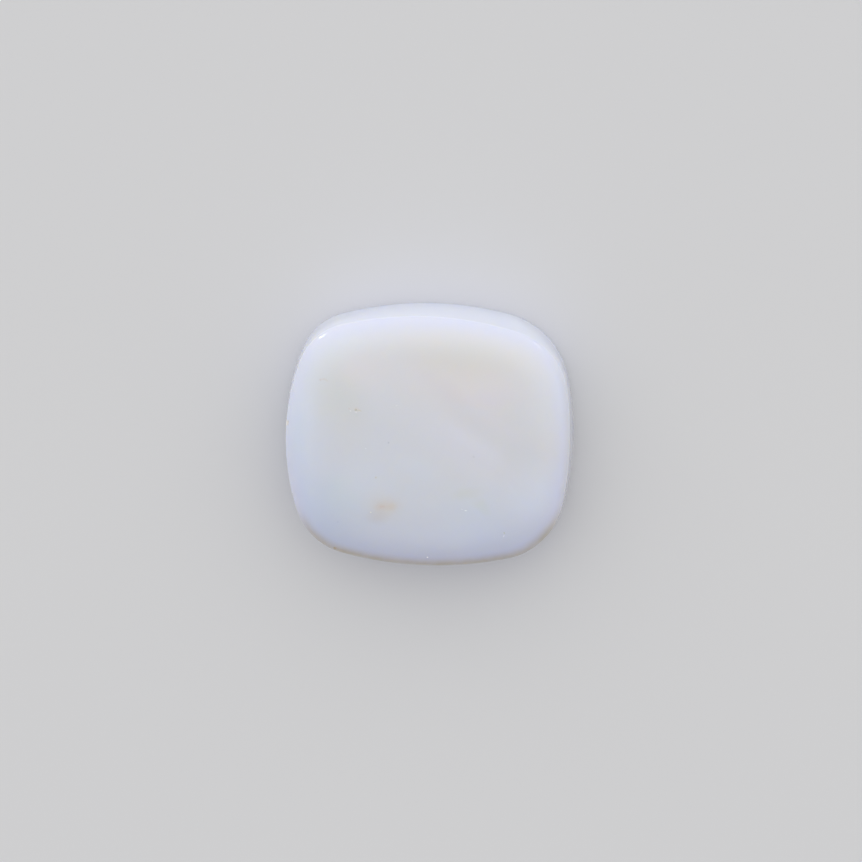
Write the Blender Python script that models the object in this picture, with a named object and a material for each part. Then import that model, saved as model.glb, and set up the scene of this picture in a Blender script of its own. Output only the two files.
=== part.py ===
# A loose gemstone: a milky white opal cut as a low cushion cabochon, lying on its flat back with its face up.
# Metres, +Z up. The origin is under the middle of the stone, on the plane of the back.
# +X is the stone's longer way and +Y its shorter way.

from math import atan2, cos, hypot, radians, sin, sqrt, tau
from typing import NamedTuple

import bmesh
import bpy

MM = 0.001


class Side(NamedTuple):
    """One bowed side: how far out it reaches, where along the side it does so, and the radius of its bow."""

    reach: float
    crown: float
    radius: float


class Outline(NamedTuple):
    """Four bowed sides, and the radii of the corners top right, top left, bottom left and bottom right."""

    right: Side
    top: Side
    left: Side
    bottom: Side
    corners: tuple


# The girdle is the widest outline, low on the wall
GIRDLE = Outline(
    right=Side(7.00 * MM, -0.04 * MM, 13.4 * MM),
    top=Side(6.32 * MM, -0.09 * MM, 15.6 * MM),
    left=Side(7.00 * MM, 0.08 * MM, 10.3 * MM),
    bottom=Side(6.32 * MM, 0.64 * MM, 17.6 * MM),
    corners=(3.96 * MM, 2.94 * MM, 3.27 * MM, 3.17 * MM),
)
GIRDLE_HEIGHT = 0.30 * MM

# The ridge is the outline where the wall turns over into the face, ground by hand and so not quite the girdle's
RIDGE = Outline(
    right=Side(6.86 * MM, 0.46 * MM, 17.1 * MM),
    top=Side(6.20 * MM, -0.43 * MM, 15.9 * MM),
    left=Side(6.86 * MM, -0.01 * MM, 11.6 * MM),
    bottom=Side(6.14 * MM, 0.29 * MM, 17.0 * MM),
    corners=(3.46 * MM, 2.90 * MM, 3.13 * MM, 3.41 * MM),
)
RIDGE_HEIGHT = 3.00 * MM
RIDGE_RADIUS = 0.25 * MM

# How steeply the surface climbs inwards: on the wall, at the outer and inner ends of the shoulder
WALL_SLOPE = radians(87)
SHOULDER_OUTER_SLOPE = radians(50)
SHOULDER_INNER_SLOPE = radians(8)
SHOULDER_WIDTH = 1.41 * MM

# The face inside the shoulder is a low dome, whose level lines ease from a cushion at its edge to an ellipse
DOME_RISE = 0.42 * MM
DOME_ELLIPSE = (5.7 * MM, 5.0 * MM)

# The back's edge is eased, from a crisp line on the back up to the girdle
BACK_EDGE_SLOPE = radians(30)

# How finely each stretch is faceted: round a corner, along half a side, and then up the profile
CORNER_STEPS = 10
HALF_SIDE_STEPS = 7
BACK_EDGE_STEPS = 3
WALL_STEPS = 3
RIDGE_STEPS = 4
SHOULDER_STEPS = 7
DOME_STEPS = 5
SHARP_ANGLE = radians(25)

OPAL_COLOUR = (0.62, 0.64, 0.70, 1.0)
OPAL_ROUGHNESS = 0.06


def clear_scene():
    for found in list(bpy.data.objects):
        bpy.data.objects.remove(found)


def corner_centre(side_a, side_b, radius, outward):
    """Centre of the corner arc that touches two side arcs from inside. A side arc here is (x, y, radius)."""
    ax, ay, a_radius = side_a
    bx, by, b_radius = side_b
    reach_a = a_radius - radius
    reach_b = b_radius - radius
    apart = hypot(bx - ax, by - ay)
    along = (reach_a**2 - reach_b**2 + apart**2) / (2 * apart)
    across = sqrt(reach_a**2 - along**2)
    ux, uy = (bx - ax) / apart, (by - ay) / apart
    options = []
    for turn in (across, -across):
        options.append((ax + along * ux - turn * uy, ay + along * uy + turn * ux))
    return max(options, key=lambda point: point[0] * outward[0] + point[1] * outward[1])


def outline_arcs(outline):
    """The outline's eight arcs as (x, y, radius, first normal's angle, turn), counter-clockwise."""
    right, top, left, bottom = outline.right, outline.top, outline.left, outline.bottom
    sides = (
        (right.reach - right.radius, right.crown, right.radius),
        (top.crown, top.reach - top.radius, top.radius),
        (left.radius - left.reach, left.crown, left.radius),
        (bottom.crown, bottom.radius - bottom.reach, bottom.radius),
    )
    outward = ((1, 1), (-1, 1), (-1, -1), (1, -1))
    corners = []
    for index in range(4):
        following = sides[(index + 1) % 4]
        radius = outline.corners[index]
        corners.append((*corner_centre(sides[index], following, radius, outward[index]), radius))
    joins = []
    for index in range(4):
        for side in (sides[index], sides[(index + 1) % 4]):
            joins.append(atan2(corners[index][1] - side[1], corners[index][0] - side[0]))
    arcs = []
    for index in range(4):
        side_start = joins[2 * index - 1]
        corner_start = joins[2 * index]
        corner_end = joins[2 * index + 1]
        arcs.append((*sides[index], side_start, (corner_start - side_start) % tau))
        arcs.append((*corners[index], corner_start, (corner_end - corner_start) % tau))
    return arcs


def outline_point(arcs, angle, inset=0.0):
    """The outline's point whose outward normal has this angle, moved in by inset."""
    x, y, radius, start, turn = min(arcs, key=lambda arc: max((angle - arc[3]) % tau - arc[4], 0.0))
    return x + (radius - inset) * cos(angle), y + (radius - inset) * sin(angle)


def normal_angles(arcs):
    """The angles of the outward normals that the rings' points stand for, from 0, with every crown among them."""
    angles = []
    for quarter in range(4):
        quarter_start = tau * quarter / 4
        _, _, _, corner_start, corner_turn = arcs[2 * quarter + 1]
        corner_start -= tau * round((corner_start - quarter_start - tau / 8) / tau)
        corner_end = corner_start + corner_turn
        stretches = (
            (quarter_start, corner_start, HALF_SIDE_STEPS),
            (corner_start, corner_end, CORNER_STEPS),
            (corner_end, quarter_start + tau / 4, HALF_SIDE_STEPS),
        )
        for start, end, steps in stretches:
            angles.extend(start + (end - start) * step / steps for step in range(steps))
    return angles


def back_edge_profile():
    """(inset from the girdle, height) up the eased edge of the back, without the girdle itself."""
    radius = GIRDLE_HEIGHT / cos(BACK_EDGE_SLOPE)
    profile = []
    for step in range(BACK_EDGE_STEPS):
        slope = BACK_EDGE_SLOPE + (radians(90) - BACK_EDGE_SLOPE) * step / BACK_EDGE_STEPS
        profile.append((radius * (1 - sin(slope)), GIRDLE_HEIGHT - radius * cos(slope)))
    return profile


def ridge_profile():
    """(inset from the ridge outline, height) round the ridge, whose inner end lies on that outline."""
    profile = []
    for step in range(RIDGE_STEPS + 1):
        slope = WALL_SLOPE + (SHOULDER_OUTER_SLOPE - WALL_SLOPE) * step / RIDGE_STEPS
        inset = RIDGE_RADIUS * (sin(SHOULDER_OUTER_SLOPE) - sin(slope))
        height = RIDGE_HEIGHT + RIDGE_RADIUS * (cos(slope) - cos(SHOULDER_OUTER_SLOPE))
        profile.append((inset, height))
    return profile


def shoulder_profile(inset, height):
    """(inset from the ridge outline, height) over the shoulder, from the end of the ridge that is given."""
    radius = SHOULDER_WIDTH / (sin(SHOULDER_OUTER_SLOPE) - sin(SHOULDER_INNER_SLOPE))
    profile = []
    for step in range(1, SHOULDER_STEPS + 1):
        slope = SHOULDER_OUTER_SLOPE + (SHOULDER_INNER_SLOPE - SHOULDER_OUTER_SLOPE) * step / SHOULDER_STEPS
        profile.append(
            (
                inset + radius * (sin(SHOULDER_OUTER_SLOPE) - sin(slope)),
                height + radius * (cos(slope) - cos(SHOULDER_OUTER_SLOPE)),
            )
        )
    return profile


def ellipse_point(semi_axes, angle):
    """The point of an ellipse whose outward normal has this angle."""
    long, short = semi_axes
    length = hypot(long * cos(angle), short * sin(angle))
    return long**2 * cos(angle) / length, short**2 * sin(angle) / length


def dome_ring(edge, angles, share):
    """The dome's edge drawn in to this share of its size, and the rounder and higher the nearer the middle."""
    ring = []
    for (edge_x, edge_y, edge_z), angle in zip(edge, angles):
        round_x, round_y = ellipse_point(DOME_ELLIPSE, angle)
        x = share * (round_x + (edge_x - round_x) * share**2)
        y = share * (round_y + (edge_y - round_y) * share**2)
        ring.append((x, y, edge_z + DOME_RISE * (1 - share**2)))
    return ring


def stone_rings():
    """Rings of points from the back up to the last ring before the dome's top, each counter-clockwise."""
    girdle = outline_arcs(GIRDLE)
    ridge = outline_arcs(RIDGE)
    angles = normal_angles(girdle)
    rings = []
    for inset, height in back_edge_profile():
        rings.append([(*outline_point(girdle, angle, inset), height) for angle in angles])

    ridge_levels = ridge_profile()
    wall_top_inset, wall_top = ridge_levels[0]
    for step in range(WALL_STEPS):
        share = step / WALL_STEPS
        ring = []
        for angle in angles:
            low_x, low_y = outline_point(girdle, angle)
            high_x, high_y = outline_point(ridge, angle, wall_top_inset)
            x = low_x + (high_x - low_x) * share
            y = low_y + (high_y - low_y) * share
            ring.append((x, y, GIRDLE_HEIGHT + (wall_top - GIRDLE_HEIGHT) * share))
        rings.append(ring)

    for inset, height in ridge_levels + shoulder_profile(*ridge_levels[-1]):
        rings.append([(*outline_point(ridge, angle, inset), height) for angle in angles])

    dome_edge = rings[-1]
    for step in range(1, DOME_STEPS):
        rings.append(dome_ring(dome_edge, angles, 1 - step / DOME_STEPS))
    return rings


def opal_material():
    material = bpy.data.materials.new("white_opal")
    material.use_nodes = True
    shader = material.node_tree.nodes["Principled BSDF"]
    shader.inputs["Base Color"].default_value = OPAL_COLOUR
    shader.inputs["Roughness"].default_value = OPAL_ROUGHNESS
    shader.inputs["Metallic"].default_value = 0.0
    return material


def make_opal():
    body = bmesh.new()
    rings = [[body.verts.new(point) for point in ring] for ring in stone_rings()]
    for lower, upper in zip(rings, rings[1:]):
        for index in range(len(lower)):
            body.faces.new((lower[index - 1], lower[index], upper[index], upper[index - 1]))
    body.faces.new(reversed(rings[0]))
    innermost = rings[-1]
    top = body.verts.new((0.0, 0.0, innermost[0].co.z + DOME_RISE / DOME_STEPS**2))
    for index in range(len(innermost)):
        body.faces.new((innermost[index - 1], innermost[index], top))
    mesh = bpy.data.meshes.new("opal")
    body.to_mesh(mesh)
    body.free()
    mesh.shade_smooth()
    mesh.set_sharp_from_angle(angle=SHARP_ANGLE)
    mesh.materials.append(opal_material())
    opal = bpy.data.objects.new("opal", mesh)
    bpy.context.scene.collection.objects.link(opal)
    return opal


clear_scene()
make_opal()
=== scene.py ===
# The looks of a polished milky white opal cabochon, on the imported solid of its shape.
# Metres, +Z up, as the solid.

from math import cos, hypot, radians, sin, tau
from typing import NamedTuple

import bmesh
import bpy
import numpy as np
from mathutils import Matrix, Vector


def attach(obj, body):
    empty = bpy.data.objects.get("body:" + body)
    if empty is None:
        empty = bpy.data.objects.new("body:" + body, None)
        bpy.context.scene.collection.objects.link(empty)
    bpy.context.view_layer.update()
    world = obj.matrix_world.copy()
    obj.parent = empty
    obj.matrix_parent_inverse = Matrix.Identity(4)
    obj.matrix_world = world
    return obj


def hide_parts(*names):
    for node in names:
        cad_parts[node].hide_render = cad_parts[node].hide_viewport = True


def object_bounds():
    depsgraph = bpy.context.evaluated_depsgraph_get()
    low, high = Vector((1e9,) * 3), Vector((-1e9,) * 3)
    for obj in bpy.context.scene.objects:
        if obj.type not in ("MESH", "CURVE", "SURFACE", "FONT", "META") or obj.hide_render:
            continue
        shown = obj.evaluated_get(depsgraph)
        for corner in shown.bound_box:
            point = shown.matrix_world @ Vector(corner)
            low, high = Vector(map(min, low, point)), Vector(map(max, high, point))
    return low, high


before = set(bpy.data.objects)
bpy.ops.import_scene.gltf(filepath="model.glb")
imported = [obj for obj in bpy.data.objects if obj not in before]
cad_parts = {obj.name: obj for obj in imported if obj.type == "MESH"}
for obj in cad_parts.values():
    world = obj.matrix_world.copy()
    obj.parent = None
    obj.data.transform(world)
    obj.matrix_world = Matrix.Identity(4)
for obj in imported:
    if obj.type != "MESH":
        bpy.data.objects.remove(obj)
CAD_LOW, CAD_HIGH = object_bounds()
NODE = "opal"
BODY = "root"

MM = 0.001
HALF_LENGTH = CAD_HIGH.x
HALF_WIDTH = CAD_HIGH.y
THICKNESS = CAD_HIGH.z


class Side(NamedTuple):
    """One bowed side: how far out it reaches, where along the side it does so, and the radius of its bow."""

    reach: float
    crown: float
    radius: float


class Outline(NamedTuple):
    """Four bowed sides, and the radii of the corners top right, top left, bottom left and bottom right."""

    right: Side
    top: Side
    left: Side
    bottom: Side
    corners: tuple


# The stone's two outlines, as its solid has them: the girdle low on the wall, and the ridge round the face
GIRDLE = Outline(
    right=Side(HALF_LENGTH, -0.04 * MM, 13.4 * MM),
    top=Side(HALF_WIDTH, -0.09 * MM, 15.6 * MM),
    left=Side(HALF_LENGTH, 0.08 * MM, 10.3 * MM),
    bottom=Side(HALF_WIDTH, 0.64 * MM, 17.6 * MM),
    corners=(3.96 * MM, 2.94 * MM, 3.27 * MM, 3.17 * MM),
)
RIDGE = Outline(
    right=Side(6.86 * MM, 0.46 * MM, 17.1 * MM),
    top=Side(6.20 * MM, -0.43 * MM, 15.9 * MM),
    left=Side(6.86 * MM, -0.01 * MM, 11.6 * MM),
    bottom=Side(6.14 * MM, 0.29 * MM, 17.0 * MM),
    corners=(3.46 * MM, 2.90 * MM, 3.13 * MM, 3.41 * MM),
)

# The profile from the back up to the middle of the face
GIRDLE_HEIGHT = 0.30 * MM
RIDGE_HEIGHT = 3.00 * MM
BACK_EDGE_SLOPE = radians(30)
WALL_SLOPE = radians(87)
SHOULDER_OUTER_SLOPE = radians(50)
SHOULDER_INNER_SLOPE = radians(8)
RIDGE_RADIUS = 0.25 * MM
SHOULDER_RADIUS = 2.25 * MM
DOME_RADIUS = 40 * MM
RIDGE_EASING = 0.020 * MM
RIDGE_EASED_OVER = 4 * RIDGE_EASING
SHOULDER_EASING = 0.200 * MM
SHOULDER_EASED_OVER = 3 * SHOULDER_EASING
DOME_ELLIPSE = (5.7 * MM, 5.0 * MM)

# How finely the mesh follows all that
PROFILE_SAMPLES = 4000
CORNER_STEPS = 40
HALF_SIDE_STEPS = 32
BACK_EDGE_STEPS = 8
WALL_STEPS = 24
RIDGE_STEPS = 16
SHOULDER_STEPS = 34
DOME_STEPS = 56
ROUNDING = 1e-9


def corner_centre(side_a, side_b, radius, outward):
    """Centre of the corner arc that touches two side arcs from inside. A side arc here is (x, y, radius)."""
    start = np.array(side_a[:2])
    end = np.array(side_b[:2])
    reach_a = side_a[2] - radius
    reach_b = side_b[2] - radius
    apart = np.linalg.norm(end - start)
    along = (reach_a**2 - reach_b**2 + apart**2) / (2 * apart)
    across = np.sqrt(reach_a**2 - along**2)
    unit = (end - start) / apart
    sideways = np.array([-unit[1], unit[0]])
    options = [start + along * unit + turn * sideways for turn in (across, -across)]
    return max(options, key=lambda point: float(point @ np.array(outward)))


def outline_arcs(outline):
    """The outline's eight arcs as rows of x, y, radius, first normal's angle and turn, counter-clockwise."""
    right, top, left, bottom = outline.right, outline.top, outline.left, outline.bottom
    sides = (
        (right.reach - right.radius, right.crown, right.radius),
        (top.crown, top.reach - top.radius, top.radius),
        (left.radius - left.reach, left.crown, left.radius),
        (bottom.crown, bottom.radius - bottom.reach, bottom.radius),
    )
    outward = ((1, 1), (-1, 1), (-1, -1), (1, -1))
    corners = []
    for index in range(4):
        radius = outline.corners[index]
        corners.append((*corner_centre(sides[index], sides[(index + 1) % 4], radius, outward[index]), radius))
    joins = []
    for index in range(4):
        for side in (sides[index], sides[(index + 1) % 4]):
            joins.append(np.arctan2(corners[index][1] - side[1], corners[index][0] - side[0]))
    arcs = []
    for index in range(4):
        side_start = joins[2 * index - 1]
        corner_start = joins[2 * index]
        corner_end = joins[2 * index + 1]
        arcs.append((*sides[index], side_start, (corner_start - side_start) % tau))
        arcs.append((*corners[index], corner_start, (corner_end - corner_start) % tau))
    return np.array(arcs)


def normal_angles(arcs):
    """The angles of the outward normals that the rings' points stand for, with every crown among them."""
    angles = []
    for quarter in range(4):
        quarter_start = tau * quarter / 4
        corner_start, corner_turn = arcs[2 * quarter + 1][3:]
        corner_start -= tau * round((corner_start - quarter_start - tau / 8) / tau)
        corner_end = corner_start + corner_turn
        angles.append(np.linspace(quarter_start, corner_start, HALF_SIDE_STEPS, endpoint=False))
        angles.append(np.linspace(corner_start, corner_end, CORNER_STEPS, endpoint=False))
        angles.append(np.linspace(corner_end, quarter_start + tau / 4, HALF_SIDE_STEPS, endpoint=False))
    return np.concatenate(angles)


def outline_points(arcs, angles, inset=0.0):
    """The outline's points whose outward normals have these angles, moved in by inset."""
    past_end = (angles[:, None] - arcs[None, :, 3]) % tau - arcs[None, :, 4]
    chosen = arcs[np.argmin(np.maximum(past_end, 0.0), axis=1)]
    normals = np.column_stack([np.cos(angles), np.sin(angles)])
    return chosen[:, :2] + (chosen[:, 2] - inset)[:, None] * normals


def ring(points, height):
    return np.column_stack([points, np.full(len(points), height)])


def back_edge_rings(girdle, angles):
    """The eased edge of the back, from the crisp line on the back up to just under the girdle."""
    radius = GIRDLE_HEIGHT / cos(BACK_EDGE_SLOPE)
    rings = []
    for slope in np.linspace(BACK_EDGE_SLOPE, radians(90), BACK_EDGE_STEPS, endpoint=False):
        points = outline_points(girdle, angles, radius * (1 - sin(slope)))
        rings.append(ring(points, GIRDLE_HEIGHT - radius * cos(slope)))
    return rings


def face_profile():
    """Insets from the ridge outline, heights and slopes, from the top of the wall to the edge of the dome.

    The curvature eases from the ridge's to the shoulder's and on to the dome's, so no line shows there."""
    ridge_start = (SHOULDER_OUTER_SLOPE - WALL_SLOPE) * RIDGE_RADIUS
    shoulder_end = (SHOULDER_OUTER_SLOPE - SHOULDER_INNER_SLOPE) * SHOULDER_RADIUS
    start = ridge_start - RIDGE_EASED_OVER
    end = shoulder_end + SHOULDER_EASED_OVER
    run = np.linspace(start, end, PROFILE_SAMPLES)
    step = run[1] - run[0]

    def eased(edge, width):
        return 1 / (1 + np.exp((edge - run) / width))

    bend = eased(ridge_start, RIDGE_EASING) / RIDGE_RADIUS
    bend += eased(0.0, RIDGE_EASING) * (1 / SHOULDER_RADIUS - 1 / RIDGE_RADIUS)
    bend += eased(shoulder_end, SHOULDER_EASING) * (1 / DOME_RADIUS - 1 / SHOULDER_RADIUS)
    slope = WALL_SLOPE - np.cumsum(bend) * step
    inset = np.cumsum(np.cos(slope)) * step
    height = np.cumsum(np.sin(slope)) * step
    inset -= np.interp(0.0, run, inset)
    height += RIDGE_HEIGHT - np.interp(0.0, run, height)
    wanted = np.concatenate([
        np.linspace(start, RIDGE_EASED_OVER, RIDGE_STEPS, endpoint=False),
        np.linspace(RIDGE_EASED_OVER, end, SHOULDER_STEPS + 1),
    ])
    return [np.interp(wanted, run, values) for values in (inset, height, slope)]


def wall_rings(girdle, ridge, angles, top_inset, top_height):
    """The wall, upright at the girdle, bowing a little, and leaning in at its top as the ridge does."""
    low = outline_points(girdle, angles)
    high = outline_points(ridge, angles, top_inset)
    normals = np.column_stack([np.cos(angles), np.sin(angles)])
    lean = (top_height - GIRDLE_HEIGHT) / np.tan(WALL_SLOPE)
    rings = []
    for share in np.arange(WALL_STEPS) / WALL_STEPS:
        blend = share * share * (3 - 2 * share)
        points = low + (high - low) * blend + normals * lean * share**2 * (1 - share)
        rings.append(ring(points, GIRDLE_HEIGHT + (top_height - GIRDLE_HEIGHT) * share))
    return rings


def dome_rings(edge, angles, edge_slope):
    """The dome's rings from its edge inwards. The nearer the middle, the fewer points they keep.

    Their lines ease from the edge's cushion into an ellipse, and their heights start at the edge's slope."""
    long, short = DOME_ELLIPSE
    length = np.hypot(long * np.cos(angles), short * np.sin(angles))
    ellipse = np.column_stack([long**2 * np.cos(angles), short**2 * np.sin(angles)]) / length[:, None]
    normals = np.column_stack([np.cos(angles), np.sin(angles)])
    edge_reach = (edge[:, :2] * normals).sum(axis=1)
    ellipse_reach = (ellipse * normals).sum(axis=1)
    rise = THICKNESS - edge[0, 2]
    pull = 2 * rise - np.tan(edge_slope) * (3 * edge_reach - 2 * ellipse_reach)
    rings = []
    for index in range(1, DOME_STEPS):
        share = 1 - index / DOME_STEPS
        points = share * (ellipse + (edge[:, :2] - ellipse) * share**2)
        height = edge[:, 2] + rise * (1 - share**2) - pull * share**3 * (1 - share)
        every = 2 ** int(-np.log2(share) + ROUNDING)
        rings.append(np.column_stack([points, height])[::every])
    return rings


def ring_faces(lower, upper):
    """Faces between two rings of vertex numbers, where the upper ring has as many or half as many."""
    faces = []
    count = len(lower)
    if len(upper) == count:
        for index in range(count):
            following = (index + 1) % count
            faces.append((lower[index], lower[following], upper[following], upper[index]))
        return faces
    for index in range(count // 2):
        first = lower[2 * index]
        middle = lower[2 * index + 1]
        last = lower[(2 * index + 2) % count]
        near = upper[index]
        far = upper[(index + 1) % len(upper)]
        faces.extend([(first, middle, near), (middle, last, far), (middle, far, near)])
    return faces


def stone_mesh():
    girdle = outline_arcs(GIRDLE)
    ridge = outline_arcs(RIDGE)
    angles = normal_angles(girdle)
    insets, heights, slopes = face_profile()
    rings = back_edge_rings(girdle, angles)
    rings += wall_rings(girdle, ridge, angles, insets[0], heights[0])
    rings += [ring(outline_points(ridge, angles, inset), height) for inset, height in zip(insets, heights)]
    rings += dome_rings(rings[-1], angles, slopes[-1])

    points = np.concatenate(rings + [np.array([[0.0, 0.0, THICKNESS]])])
    starts = np.cumsum([0] + [len(r) for r in rings])
    numbers = [list(range(starts[i], starts[i + 1])) for i in range(len(rings))]
    faces = [tuple(reversed(numbers[0]))]
    for lower, upper in zip(numbers, numbers[1:]):
        faces += ring_faces(lower, upper)
    top = len(points) - 1
    innermost = numbers[-1]
    faces += [(innermost[i - 1], innermost[i], top) for i in range(len(innermost))]
    mesh = bpy.data.meshes.new("polished_opal")
    mesh.from_pydata(points.tolist(), [], faces)
    mesh.update()
    return mesh


class Hollow(NamedTuple):
    """A tiny pit or chip: its middle and its reach in mm, its angle in degrees, and its depth in mm."""

    centre: tuple
    reach: tuple
    angle: float
    depth: float


HOLLOWS = (
    Hollow((-3.435, 1.815), (0.055, 0.045), -15, 0.050),
    Hollow((-3.290, 1.775), (0.110, 0.045), -15, 0.010),
    Hollow((1.900, -3.140), (0.085, 0.035), 0, 0.008),
    Hollow((3.740, -4.340), (0.045, 0.090), -25, 0.010),
    Hollow((0.020, -5.650), (0.050, 0.045), 0, 0.010),
    Hollow((-4.480, -5.360), (0.110, 0.060), -33, 0.022),
    Hollow((-6.790, 0.880), (0.045, 0.120), 0, 0.010),
)
HOLLOW_FINENESS = 5
HOLLOW_MARGIN = 1.2
HOLLOW_CORE = 0.25
HOLLOWS_ABOVE = 0.6 * THICKNESS


def refine(body, middle, reach, longest):
    """Splits the edges round a place until they are short enough to carry a hollow's shape."""
    while True:
        near = []
        for edge in body.edges:
            length = edge.calc_length()
            away = min((vert.co - middle).length for vert in edge.verts)
            if length > longest and away < reach + length:
                near.append(edge)
        if not near:
            return
        bmesh.ops.subdivide_edges(body, edges=near, cuts=1, use_grid_fill=True, use_single_edge=True)


def sink(body, hollow):
    """Presses a hollow into the face or the ridge, straight into the stone."""
    centre = Vector((*hollow.centre, 0.0)) * MM
    above = (vert for vert in body.verts if vert.co.z > HOLLOWS_ABOVE)
    nearest = min(above, key=lambda vert: (vert.co.xy - centre.xy).length)
    middle = nearest.co.copy()
    inward = -nearest.normal
    turn = radians(hollow.angle)
    along = Vector((cos(turn), sin(turn), 0.0))
    along = (along - along.dot(inward) * inward).normalized()
    across = along.cross(inward)
    reach_along, reach_across = (reach * MM for reach in hollow.reach)
    widest = max(reach_along, reach_across)
    refine(body, middle, HOLLOW_MARGIN * widest, min(reach_along, reach_across) / HOLLOW_FINENESS)
    for vert in body.verts:
        away = vert.co - middle
        share = hypot(away.dot(along) / reach_along, away.dot(across) / reach_across)
        if share < 1 and abs(away.dot(inward)) < widest:
            ease = min((1 - share) / (1 - HOLLOW_CORE), 1.0)
            vert.co += inward * hollow.depth * MM * ease * ease * (3 - 2 * ease)


def finish_mesh(mesh):
    """Sinks the hollows, cuts up the many-sided faces that they leave, and sharpens the back's edge."""
    body = bmesh.new()
    body.from_mesh(mesh)
    body.normal_update()
    for hollow in HOLLOWS:
        sink(body, hollow)
    back = min(body.faces, key=lambda face: face.normal.z)
    many_sided = [face for face in body.faces if len(face.verts) > 4 and face is not back]
    bmesh.ops.triangulate(body, faces=many_sided)
    for edge in back.edges:
        edge.smooth = False
    body.to_mesh(mesh)
    body.free()


# In the pairs below something begins at the first number and is full at the second. Heights and places are in
# mm, a rim is a share of the way from the middle out to the outline, and a noise goes from 0 to 1.
FINE_DETAIL = 3.0

# The milk in the thick of the stone, and how far its patterns drift
MILK = (0.735, 0.740, 0.774)
DRIFT_SIZE = 2.2
DRIFT_AMOUNT = 1.0

# The bluer milk, and how its share changes with each mm to the right and away, and towards the rim
COOL = (0.662, 0.741, 0.889)
COOL_MIDDLE = 0.12
COOL_PER_X = -0.050
COOL_PER_Y = -0.055
COOL_AT_RIM = (0.70, 0.98)
COOL_RIM_SHARE = 0.30

# The milk on the shoulder and below it
RIM = (0.688, 0.717, 0.868)
RIM_HEIGHTS = (3.70, 3.00)
RIM_SHARE = 0.95

# The milk of the far wall: bluish as the rim is, and painted lighter there, as light that falls on that side
FAR_WALL_MILK_AND_LIGHT = (0.760, 0.795, 0.992)
WALL_HEIGHTS = (3.00, 2.85)
WALL_PLACES = (0.0, 4.0)

# Painted shade: what the milk is multiplied by towards the near side
NEAR_SIDE_PAINTED_SHADE = (0.840, 0.815, 0.875)
NEAR_SIDE_SHADE_AT_RIM = (0.40, 1.05)
NEAR_SIDE_SHADE_PLACES = (2.0, -6.5)

# Painted shade: what it is multiplied by on the right wall
RIGHT_WALL_PAINTED_SHADE = (0.950, 0.935, 0.860)
RIGHT_WALL_SHADE_HEIGHTS = (3.35, 3.00)
RIGHT_WALL_SHADE_PLACES_X = (5.0, 6.5)
RIGHT_WALL_SHADE_PLACES_Y = (5.0, 3.0)

# What it is multiplied by for the faint veils in the near and side walls and in the back
VEIL = (0.950, 0.962, 0.980)
VEIL_SIZE = 1.8
VEIL_NOISE = (0.35, 0.65)
VEIL_HEIGHTS = (3.0, 2.5)
VEIL_PLACES = (4.0, 1.0)

# What it is multiplied by along the near ridge: a little iron that has got in, and painted shade that darkens
# that ridge
RUST_AND_PAINTED_SHADE = (0.800, 0.730, 0.530)
RUST_AND_SHADE_SIZE = 0.8
RUST_AND_SHADE_NOISE = (0.30, 0.60)
RUST_AND_SHADE_LEAST = 0.8
RUST_AND_SHADE_HEIGHTS_ABOVE = (3.50, 3.04)
RUST_AND_SHADE_HEIGHTS_BELOW = (2.75, 2.98)
RUST_AND_SHADE_PLACES = (-2.8, -5.0)

# The marks on the face and the ridge: how ragged the stains are, and the heights where marks begin
RAGGED_SIZE = 0.22
RAGGED_AMOUNT = 0.16
MARK_HEIGHTS = (2.5, 2.7)

# The surface: its roughness where it is hazy, pitted, or only ground as the back is
HAZE_SIZE = 0.7
HAZE_NOISE = (0.35, 0.75)
HAZE_ROUGHNESS = (0.05, 0.09)
PITTED_ROUGHNESS = 0.45
BACK_HEIGHTS = (0.06, 0.01)
BACK_ROUGHNESS = 0.28

# Its relief in mm, too low for the mesh: waves all over, the back's grinding grooves, and the pits' grain
WAVE_SIZE = 1.5
WAVE_DETAIL = 1.0
WAVE_HEIGHT = 0.0035
GROOVE_SIZE = 0.9
GROOVE_DETAIL = 4.0
GROOVE_NARROWING = (1.0, 14.0, 1.0)
GROOVE_HEIGHT = 0.006
GRAIN_SIZE = 0.04
GRAIN_HEIGHT = 0.012

# How the stone bends the light, and how far red, green and blue go within it
REFRACTION = 1.45
SCATTER_REACH = (1.0, 0.9, 0.7)
SCATTER_SCALE = 2.4 * MM


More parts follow.
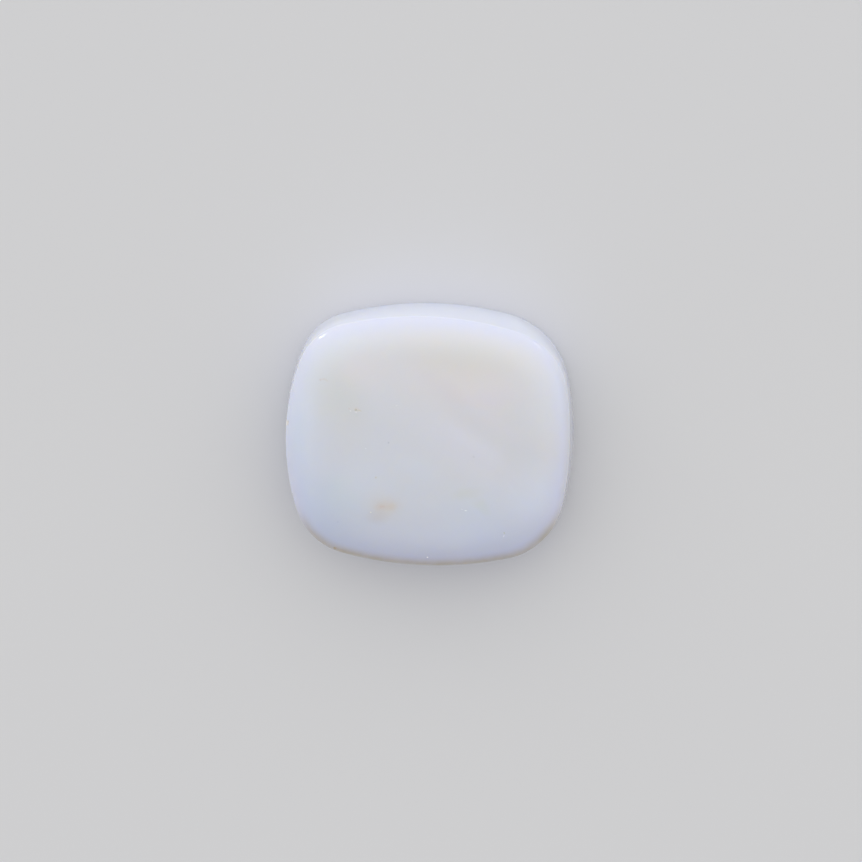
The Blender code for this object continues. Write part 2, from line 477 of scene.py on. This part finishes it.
class Paint:
    """Short ways to put together a material whose masks are drawn in mm on the stone, seen from above."""

    def __init__(self, name):
        self.material = bpy.data.materials.new(name)
        self.material.use_nodes = True
        self.nodes = self.material.node_tree.nodes
        self.links = self.material.node_tree.links
        self.shader = self.nodes["Principled BSDF"]
        self.millimetres = self.vector("SCALE", self.add("ShaderNodeTexCoord").outputs["Object"], 1 / MM)
        self.flat = self.vector("MULTIPLY", self.millimetres, (1.0, 1.0, 0.0))
        self.x, self.y, self.z = self.split(self.millimetres)

    def add(self, kind, **settings):
        node = self.nodes.new(kind)
        for name, value in settings.items():
            setattr(node, name, value)
        return node

    def fill(self, socket, value):
        if isinstance(value, bpy.types.NodeSocket):
            self.links.new(value, socket)
        else:
            socket.default_value = value

    def math(self, operation, *values):
        node = self.add("ShaderNodeMath", operation=operation)
        for socket, value in zip(node.inputs, values):
            self.fill(socket, value)
        return node.outputs["Value"]

    def vector(self, operation, first, second):
        node = self.add("ShaderNodeVectorMath", operation=operation)
        self.fill(node.inputs[0], first)
        self.fill(node.inputs["Scale" if operation == "SCALE" else 1], second)
        return node.outputs["Vector"]

    def split(self, vector):
        node = self.add("ShaderNodeSeparateXYZ")
        self.links.new(vector, node.inputs["Vector"])
        return node.outputs

    def ramp(self, value, start, end, low=0.0, high=1.0):
        """Eases from low to high while the value goes from start to end."""
        node = self.add("ShaderNodeMapRange", interpolation_type="SMOOTHSTEP")
        names = ("Value", "From Min", "From Max", "To Min", "To Max")
        for name, setting in zip(names, (value, start, end, low, high)):
            self.fill(node.inputs[name], setting)
        return node.outputs["Result"]

    def noise(self, place, size, detail=2.0, output="Fac"):
        """Soft noise from 0 to 1, whose patches are about size mm across."""
        node = self.add("ShaderNodeTexNoise")
        node.inputs["Scale"].default_value = 1 / size
        node.inputs["Detail"].default_value = detail
        self.links.new(place, node.inputs["Vector"])
        return node.outputs[output]

    def stirred(self, size, amount, detail=2.0):
        """The flat place, moved about by up to half the amount in mm, for outlines that wander."""
        wander = self.vector("SUBTRACT", self.noise(self.millimetres, size, detail, "Color"), (0.5, 0.5, 0.5))
        moved = self.vector("ADD", self.flat, self.vector("SCALE", wander, amount))
        return self.vector("MULTIPLY", moved, (1.0, 1.0, 0.0))

    def blob(self, place, centre, reach, angle, core):
        """1 inside the core of an ellipse, and 0 outside it.

        Its reach is in mm, along and across its angle, which is in degrees."""
        node = self.add("ShaderNodeMapping", vector_type="TEXTURE")
        self.links.new(place, node.inputs["Vector"])
        node.inputs["Location"].default_value = (*centre, 0.0)
        node.inputs["Rotation"].default_value = (0.0, 0.0, radians(angle))
        node.inputs["Scale"].default_value = (*reach, 1.0)
        length = self.add("ShaderNodeVectorMath", operation="LENGTH")
        self.links.new(node.outputs["Vector"], length.inputs[0])
        return self.ramp(length.outputs["Value"], 1.0, core)

    def both(self, first, second):
        return self.math("MULTIPLY", first, second)

    def mix(self, under, over, mask, amount=1.0, blend="MIX"):
        node = self.add("ShaderNodeMix", data_type="RGBA", blend_type=blend)
        self.fill(node.inputs["Factor"], mask if amount == 1.0 else self.math("MULTIPLY", mask, amount))
        for name, colour in (("A", under), ("B", over)):
            socket = next(s for s in node.inputs if s.name == name and s.type == "RGBA")
            self.fill(socket, colour if isinstance(colour, bpy.types.NodeSocket) else (*colour, 1.0))
        return next(s for s in node.outputs if s.type == "RGBA")

    def multiply(self, colour, tint, mask):
        return self.mix(colour, tint, mask, blend="MULTIPLY")

    def tinted(self, colour, place, tints, where=1.0):
        for tint in tints:
            mask = self.blob(place, tint.centre, tint.reach, tint.angle, tint.core)
            colour = self.multiply(colour, tint.colour, self.both(mask, where))
        return colour


class Tint(NamedTuple):
    """A patch of colour: its centre and reach in mm, its angle in degrees, and the share where it is full."""

    centre: tuple
    reach: tuple
    angle: float
    core: float
    colour: tuple


# Clouds deep in the milk, with soft wandering edges, and a strip of painted shade along the left edge. They
# multiply the colour under them.
CLOUDS_AND_SHADE = (
    Tint((1.9, 3.0), (4.4, 1.9), -14, 0.1, (1.035, 1.005, 0.985)),
    Tint((1.3, 2.4), (2.8, 0.9), -38, 0.1, (0.980, 0.975, 0.985)),
    Tint((3.4, 1.1), (2.2, 0.8), -38, 0.1, (1.015, 1.005, 1.015)),
    Tint((3.0, 2.6), (1.6, 0.8), -10, 0.0, (0.995, 0.995, 1.025)),
    Tint((2.1, 1.9), (1.3, 0.5), -10, 0.0, (0.990, 1.010, 1.030)),
    Tint((1.6, 4.3), (4.2, 1.4), -6, 0.0, (0.990, 0.985, 0.945)),
    Tint((-3.2, 3.6), (2.0, 1.4), 10, 0.0, (1.030, 1.005, 0.995)),
    Tint((-4.4, 2.6), (2.0, 2.7), 20, 0.0, (0.995, 0.995, 0.950)),
    Tint((-4.0, 0.6), (2.2, 2.8), 0, 0.0, (1.005, 0.990, 0.965)),
    # Painted shade: the long darker strip along the left edge
    Tint((-6.8, 0.0), (1.1, 5.0), 0, 0.0, (0.950, 0.965, 0.965)),
    Tint((2.4, 0.1), (2.9, 0.7), -36, 0.1, (1.015, 1.020, 1.035)),
    Tint((1.6, 0.1), (4.2, 1.6), -36, 0.0, (1.015, 1.015, 1.050)),
    Tint((-0.4, -0.9), (1.6, 1.0), -30, 0.1, (1.005, 1.015, 1.030)),
    Tint((4.7, -0.3), (1.5, 1.1), -30, 0.1, (0.985, 0.995, 1.005)),
    Tint((5.8, 2.6), (2.4, 3.4), -20, 0.0, (1.010, 1.025, 1.050)),
    Tint((6.3, 1.5), (0.9, 4.0), 0, 0.0, (0.995, 1.000, 1.020)),
    Tint((5.3, -2.2), (1.8, 2.4), -10, 0.0, (1.015, 1.055, 1.105)),
    Tint((3.6, -4.0), (4.2, 3.2), -30, 0.0, (0.975, 1.015, 1.070)),
    Tint((1.0, -4.6), (3.4, 1.4), 5, 0.0, (1.010, 1.025, 1.040)),
    Tint((1.9, -2.3), (1.1, 0.45), 12, 0.1, (0.988, 0.983, 0.938)),
    Tint((2.6, -3.0), (0.9, 0.45), -58, 0.1, (0.985, 0.988, 0.945)),
    Tint((-4.8, -3.6), (3.0, 2.8), 40, 0.0, (0.950, 0.970, 0.975)),
    Tint((-4.4, -2.4), (1.6, 1.6), 0, 0.0, (0.995, 1.010, 0.985)),
)

# Iron stain and dark specks close under the surface, with ragged edges. They multiply the colour too.
STAINS = (
    Tint((-2.10, -3.00), (1.50, 1.15), -15, 0.0, (1.020, 0.985, 0.930)),
    Tint((-1.98, -2.98), (1.05, 0.62), 3, 0.0, (1.000, 0.965, 0.930)),
    Tint((-2.25, -3.01), (0.46, 0.28), 8, 0.1, (0.992, 0.952, 0.918)),
    Tint((-2.16, -3.00), (0.18, 0.10), 10, 0.1, (0.985, 0.940, 0.930)),
    Tint((-1.70, -2.99), (0.42, 0.28), 5, 0.1, (0.996, 0.963, 0.920)),
    Tint((-2.42, -3.57), (0.88, 0.52), 5, 0.0, (0.974, 0.946, 0.920)),
    Tint((-5.18, 3.24), (0.07, 0.06), 30, 0.3, (0.965, 0.940, 0.925)),
    Tint((-5.10, 3.26), (0.21, 0.09), 22, 0.2, (0.990, 0.945, 0.918)),
    Tint((-4.91, 3.26), (0.19, 0.08), -24, 0.2, (0.990, 0.960, 0.928)),
    Tint((-3.44, 1.82), (0.065, 0.060), -10, 0.3, (0.870, 0.840, 0.760)),
    Tint((-3.40, 1.85), (0.22, 0.16), -20, 0.0, (1.010, 0.970, 0.920)),
    Tint((-3.25, 1.78), (0.12, 0.06), -12, 0.3, (0.960, 0.930, 0.840)),
    Tint((-3.42, 1.55), (0.16, 0.10), 0, 0.0, (0.970, 0.985, 0.975)),
    Tint((-3.76, 1.87), (0.06, 0.06), 0, 0.3, (1.000, 0.940, 0.920)),
    Tint((-2.47, -1.53), (0.11, 0.11), 0, 0.0, (1.000, 0.970, 0.920)),
    Tint((-2.47, -1.53), (0.050, 0.050), 0, 0.3, (0.920, 0.880, 0.800)),
    Tint((-1.84, 0.24), (0.06, 0.06), 0, 0.3, (0.820, 0.830, 0.860)),
    Tint((-4.34, -3.86), (0.07, 0.05), 20, 0.3, (0.920, 0.930, 0.950)),
    Tint((2.29, -0.42), (0.08, 0.06), -30, 0.3, (0.930, 0.930, 0.940)),
    Tint((3.76, -4.32), (0.060, 0.050), 60, 0.3, (0.880, 0.880, 0.720)),
    Tint((-6.82, 0.88), (0.09, 0.18), 0, 0.3, (1.000, 0.880, 0.720)),
    Tint((-4.51, -5.34), (0.12, 0.08), -32, 0.2, (0.820, 0.680, 0.480)),
    Tint((-4.20, -5.45), (0.60, 0.20), -30, 0.0, (1.000, 0.960, 0.900)),
)

# Tiny specks that are paler than the milk, and cover it. One is a painted highlight at the large pit.
SPECKS = (
    Tint((0.01, -5.66), (0.055, 0.050), 0, 0.4, (1.0, 1.0, 1.0)),
    Tint((1.90, -3.16), (0.095, 0.034), 0, 0.3, (0.93, 0.96, 1.0)),
    Tint((1.72, -3.09), (0.060, 0.026), -45, 0.3, (0.84, 0.87, 0.95)),
    Tint((-2.72, -3.31), (0.045, 0.045), 0, 0.3, (0.92, 0.92, 0.80)),
    Tint((3.74, -4.47), (0.045, 0.100), -25, 0.3, (0.80, 0.82, 0.92)),
    # Painted highlight: the pale crescent just below the large pit, where its lower wall faces the light
    Tint((-3.42, 1.71), (0.075, 0.030), -8, 0.3, (0.88, 0.89, 0.90)),
    Tint((-3.70, 1.76), (0.055, 0.055), 0, 0.3, (0.84, 0.84, 0.86)),
    Tint((-2.96, -0.09), (0.060, 0.030), -30, 0.3, (0.84, 0.86, 0.92)),
    Tint((-1.45, 2.08), (0.060, 0.030), 10, 0.3, (0.84, 0.84, 0.86)),
    Tint((-6.87, 0.88), (0.050, 0.240), 0, 0.3, (0.98, 0.96, 0.94)),
)


def rim_distance(paint):
    """0 in the middle of the stone, and about 1 all along its outline."""
    cubes = []
    for value, reach in ((paint.x, HALF_LENGTH), (paint.y, HALF_WIDTH)):
        share = paint.math("DIVIDE", paint.math("ABSOLUTE", value), reach / MM)
        cubes.append(paint.math("POWER", share, 3.0))
    return paint.math("POWER", paint.math("ADD", *cubes), 1 / 3)


def milky_body(paint):
    """The milk: bluish where thin or low, with painted light on the far wall and painted shade on the near
    side.
    """
    drifting = paint.stirred(DRIFT_SIZE, DRIFT_AMOUNT)
    x, y, _ = paint.split(drifting)
    rim = rim_distance(paint)

    cool = paint.math("MULTIPLY_ADD", y, COOL_PER_Y, COOL_MIDDLE)
    cool = paint.math("MULTIPLY_ADD", x, COOL_PER_X, cool)
    cool = paint.math("ADD", cool, paint.ramp(rim, *COOL_AT_RIM, 0.0, COOL_RIM_SHARE))
    colour = paint.mix(MILK, COOL, cool)
    colour = paint.mix(colour, RIM, paint.ramp(paint.z, *RIM_HEIGHTS), RIM_SHARE)
    # Painted light: the far wall is made lighter than the rest of the rim
    far_wall_painted_light = paint.both(paint.ramp(paint.z, *WALL_HEIGHTS), paint.ramp(y, *WALL_PLACES))
    colour = paint.mix(colour, FAR_WALL_MILK_AND_LIGHT, far_wall_painted_light)

    # Painted shade, darker towards the near side and its rim
    near_side_shade = paint.both(paint.ramp(rim, *NEAR_SIDE_SHADE_AT_RIM), paint.ramp(y, *NEAR_SIDE_SHADE_PLACES))
    colour = paint.multiply(colour, NEAR_SIDE_PAINTED_SHADE, near_side_shade)
    # Painted shade on the right wall
    right = paint.both(paint.ramp(paint.x, *RIGHT_WALL_SHADE_PLACES_X), paint.ramp(paint.y, *RIGHT_WALL_SHADE_PLACES_Y))
    colour = paint.multiply(colour, RIGHT_WALL_PAINTED_SHADE, paint.both(paint.ramp(paint.z, *RIGHT_WALL_SHADE_HEIGHTS), right))

    veils = paint.ramp(paint.noise(paint.millimetres, VEIL_SIZE, FINE_DETAIL), *VEIL_NOISE)
    veiled = paint.both(paint.ramp(paint.z, *VEIL_HEIGHTS), paint.ramp(y, *VEIL_PLACES))
    colour = paint.multiply(colour, VEIL, paint.both(veils, veiled))

    # Iron along the near ridge, and painted shade there as well
    rust_and_shade_patches = paint.noise(paint.millimetres, RUST_AND_SHADE_SIZE, FINE_DETAIL)
    rust_and_shade_patches = paint.ramp(rust_and_shade_patches, *RUST_AND_SHADE_NOISE, RUST_AND_SHADE_LEAST, 1.0)
    above = paint.ramp(paint.z, *RUST_AND_SHADE_HEIGHTS_ABOVE)
    below = paint.ramp(paint.z, *RUST_AND_SHADE_HEIGHTS_BELOW)
    near_ridge = paint.both(paint.both(above, below), paint.ramp(y, *RUST_AND_SHADE_PLACES))
    colour = paint.multiply(colour, RUST_AND_PAINTED_SHADE, paint.both(near_ridge, rust_and_shade_patches))
    return paint.tinted(colour, drifting, CLOUDS_AND_SHADE)


def marked(paint, colour):
    """The stains, inclusions and specks on and just under the polished surface, and a painted highlight at a
    pit.
    """
    ragged = paint.stirred(RAGGED_SIZE, RAGGED_AMOUNT, FINE_DETAIL)
    above = paint.ramp(paint.z, *MARK_HEIGHTS)
    colour = paint.tinted(colour, ragged, STAINS, above)
    for speck in SPECKS:
        mask = paint.blob(paint.flat, speck.centre, speck.reach, speck.angle, speck.core)
        colour = paint.mix(colour, speck.colour, paint.both(mask, above))
    return colour


def finish(paint):
    """Polished, with a breath of haze and waviness, and rougher in the pits. The back is only ground."""
    back = paint.ramp(paint.z, *BACK_HEIGHTS)
    haze = paint.noise(paint.millimetres, HAZE_SIZE, FINE_DETAIL)
    polish = paint.ramp(haze, *HAZE_NOISE, *HAZE_ROUGHNESS)
    above = paint.ramp(paint.z, *MARK_HEIGHTS)
    pitted = 0.0
    for hollow in HOLLOWS:
        mask = paint.blob(paint.flat, hollow.centre, hollow.reach, hollow.angle, HOLLOW_CORE)
        pitted = paint.math("MAXIMUM", pitted, paint.both(mask, above))
    roughness = paint.math("MULTIPLY_ADD", pitted, PITTED_ROUGHNESS, polish)
    roughness = paint.math("MULTIPLY_ADD", back, BACK_ROUGHNESS, roughness)
    paint.fill(paint.shader.inputs["Roughness"], roughness)

    waves = paint.noise(paint.millimetres, WAVE_SIZE, WAVE_DETAIL)
    narrowed = paint.vector("MULTIPLY", paint.millimetres, GROOVE_NARROWING)
    grooves = paint.noise(narrowed, GROOVE_SIZE, GROOVE_DETAIL)
    grain = paint.noise(paint.millimetres, GRAIN_SIZE)
    height = paint.math("MULTIPLY", waves, WAVE_HEIGHT)
    height = paint.math("MULTIPLY_ADD", paint.both(back, grooves), GROOVE_HEIGHT, height)
    height = paint.math("MULTIPLY_ADD", paint.both(pitted, grain), GRAIN_HEIGHT, height)
    bump = paint.add("ShaderNodeBump")
    bump.inputs["Distance"].default_value = MM
    paint.fill(bump.inputs["Height"], height)
    paint.fill(paint.shader.inputs["Normal"], bump.outputs["Normal"])


def opal_material():
    paint = Paint("milky_opal")
    shader = paint.shader
    paint.fill(shader.inputs["Base Color"], marked(paint, milky_body(paint)))
    finish(paint)
    shader.inputs["IOR"].default_value = REFRACTION
    shader.inputs["Subsurface Weight"].default_value = 1.0
    shader.inputs["Subsurface Radius"].default_value = SCATTER_REACH
    shader.inputs["Subsurface Scale"].default_value = SCATTER_SCALE
    return paint.material


def make_opal():
    mesh = stone_mesh()
    mesh.shade_smooth()
    finish_mesh(mesh)
    mesh.materials.append(opal_material())
    opal = bpy.data.objects.new("polished_opal", mesh)
    bpy.context.scene.collection.objects.link(opal)
    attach(opal, BODY)
    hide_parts(NODE)


# The camera stands where the photograph was taken from, moved round with the stone as it is laid on its back
CAMERA_TILT = radians(13.5)
CAMERA_TURN = radians(2.764)
CAMERA_DISTANCE = 1.0
PICTURE_WIDTH = 42.02 * MM
AIM_RIGHT = 0.018 * MM
AIM_UP = -0.158 * MM
SENSOR_WIDTH = 36.0
NEAREST_SEEN = 0.1 * CAMERA_DISTANCE
FARTHEST_SEEN = 10 * CAMERA_DISTANCE


def make_camera():
    tilted = cos(CAMERA_TILT)
    towards = Vector((sin(CAMERA_TURN) * tilted, sin(CAMERA_TILT), cos(CAMERA_TURN) * tilted))
    right = Vector((cos(CAMERA_TURN), 0.0, -sin(CAMERA_TURN)))
    up = towards.cross(right)
    data = bpy.data.cameras.new("camera")
    data.sensor_width = SENSOR_WIDTH
    data.lens = SENSOR_WIDTH * CAMERA_DISTANCE / PICTURE_WIDTH
    data.clip_start = NEAREST_SEEN
    data.clip_end = FARTHEST_SEEN
    camera = bpy.data.objects.new("camera", data)
    bpy.context.scene.collection.objects.link(camera)
    turn = Matrix((right, up, towards)).transposed().to_4x4()
    place = AIM_RIGHT * right + AIM_UP * up + CAMERA_DISTANCE * towards
    camera.matrix_world = Matrix.Translation(place) @ turn
    bpy.context.scene.camera = camera


# The light tent's brightness in the middle, what it gains away from the viewer, and what it loses upwards
TENT_LEVEL = 0.88
TENT_SLANT = 0.44
TENT_DIMMING = 0.05
TENT_COLOUR = (1.0, 1.0, 1.0, 1.0)


class Lamp(NamedTuple):
    """An area lamp that faces the stone. Azimuth is from +X towards +Y, and elevation is above the floor."""

    name: str
    azimuth: float
    elevation: float
    width: float
    height: float
    watts: float


# Two lamps low beyond the stone, for the two small highlights on its ridge
LAMPS = (
    Lamp("left_glint", radians(136), radians(3.0), 0.060, 0.030, 0.060),
    Lamp("right_glint", radians(47.6), radians(6.8), 0.052, 0.026, 0.022),
)
LAMP_DISTANCE = 0.30


def make_lamp(settings):
    data = bpy.data.lights.new(settings.name, "AREA")
    data.shape = "ELLIPSE"
    data.size = settings.width
    data.size_y = settings.height
    data.energy = settings.watts
    lamp = bpy.data.objects.new(settings.name, data)
    bpy.context.scene.collection.objects.link(lamp)
    raised = cos(settings.elevation)
    direction = Vector((
        cos(settings.azimuth) * raised,
        sin(settings.azimuth) * raised,
        sin(settings.elevation),
    ))
    lamp.rotation_euler = direction.to_track_quat("Z", "Y").to_euler()
    lamp.location = direction * LAMP_DISTANCE
    lamp.visible_camera = False


def make_world():
    """A light tent all round, brightest low down beyond the stone, and darker overhead and on this side."""
    world = bpy.data.worlds.new("light_tent")
    world.use_nodes = True
    nodes = world.node_tree.nodes
    links = world.node_tree.links
    nodes["Background"].inputs["Color"].default_value = TENT_COLOUR
    direction = nodes.new("ShaderNodeTexCoord")
    parts = nodes.new("ShaderNodeSeparateXYZ")
    links.new(direction.outputs["Generated"], parts.inputs["Vector"])
    level = TENT_LEVEL
    for axis, slant in (("Y", TENT_SLANT), ("Z", -TENT_DIMMING)):
        node = nodes.new("ShaderNodeMath")
        node.operation = "MULTIPLY_ADD"
        links.new(parts.outputs[axis], node.inputs[0])
        node.inputs[1].default_value = slant
        if isinstance(level, float):
            node.inputs[2].default_value = level
        else:
            links.new(level, node.inputs[2])
        level = node.outputs["Value"]
    links.new(level, nodes["Background"].inputs["Strength"])
    bpy.context.scene.world = world


# The board under the stone. It lies a hair's breadth lower than the back, so the two don't meet in one plane.
FLOOR_REACH = 1.5
FLOOR_GAP = 0.01 * MM
FLOOR_COLOUR = (0.725, 0.725, 0.735, 1.0)
FLOOR_ROUGHNESS = 0.9


def make_floor():
    mesh = bpy.data.meshes.new("floor")
    body = bmesh.new()
    bmesh.ops.create_grid(body, x_segments=1, y_segments=1, size=FLOOR_REACH)
    body.to_mesh(mesh)
    body.free()
    floor = bpy.data.objects.new("floor", mesh)
    floor.location.z = -FLOOR_GAP
    bpy.context.scene.collection.objects.link(floor)
    material = bpy.data.materials.new("pale_board")
    material.use_nodes = True
    shader = material.node_tree.nodes["Principled BSDF"]
    shader.inputs["Base Color"].default_value = FLOOR_COLOUR
    shader.inputs["Roughness"].default_value = FLOOR_ROUGHNESS
    mesh.materials.append(material)


make_opal()
make_camera()
make_world()
for settings in LAMPS:
    make_lamp(settings)
make_floor()
bpy.context.scene.view_settings.view_transform = "Standard"
